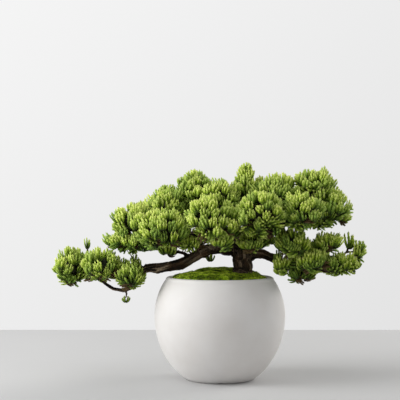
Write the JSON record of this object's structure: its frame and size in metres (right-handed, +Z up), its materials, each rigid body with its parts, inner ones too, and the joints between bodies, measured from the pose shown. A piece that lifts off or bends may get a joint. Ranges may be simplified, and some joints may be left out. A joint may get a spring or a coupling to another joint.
{
  "type": "potted bonsai tree",
  "caption": "Juniper bonsai with a wide dense crown and long low arms of upright green shoots, growing out of moss in a plain round white pot.",
  "frame": {"origin": "middle of the pot's flat base, on the surface it stands on", "axes": "+Z up the pot's axis, -Y towards the front, +X along the crown's widest spread, towards its shorter arm"},
  "size_m": [0.385, 0.1928, 0.2637],
  "materials": {
    "pot_ceramic": "matte",
    "screen_plastic": "matte",
    "gravel": "matte",
    "soil": "matte",
    "moss": "matte",
    "bark": "matte",
    "foliage": "matte"
  },
  "bodies": {
    "root": {"drain_screen": "screen_plastic", "gravel": "gravel", "moss_back": "moss", "moss_front": "moss", "moss_left": "moss", "moss_right": "moss", "pad_arm_low": "foliage", "pad_crown_back": "foliage", "pad_crown_back_far_right": "foliage", "pad_crown_back_left": "foliage", "pad_crown_back_right": "foliage", "pad_crown_centre_front": "foliage", "pad_crown_centre_top": "foliage", "pad_crown_far_right": "foliage", "pad_crown_front": "foliage", "pad_crown_left": "foliage", "pad_crown_left_crest": "foliage", "pad_crown_left_front": "foliage", "pad_crown_left_low": "foliage", "pad_crown_mid_low": "foliage", "pad_crown_right_centre": "foliage", "pad_crown_right_front": "foliage", "pad_crown_right_top": "foliage", "pad_crown_spire": "foliage", "pad_crown_top_left": "foliage", "pad_front_low": "foliage", "pad_hanging": "foliage", "pad_low_left_back": "foliage", "pad_low_left_end": "foliage", "pad_low_left_inner": "foliage", "pad_low_left_main": "foliage", "pad_low_right_back": "foliage", "pad_low_right_end": "foliage", "pad_low_right_inner": "foliage", "pad_low_right_outer": "foliage", "pad_low_right_top": "foliage", "pad_low_right_under": "foliage", "pad_right_mid": "foliage", "pad_trunk_back": "foliage", "pad_trunk_front": "foliage", "pot": "pot_ceramic", "soil": "soil", "tree_wood": "bark", "tuft_arm_stub": "foliage", "tuft_arm_top": "foliage", "tuft_lone": "foliage", "tuft_side": "foliage", "tuft_tulip": "foliage", "tuft_under": "foliage"}
  },
  "joints": []
}
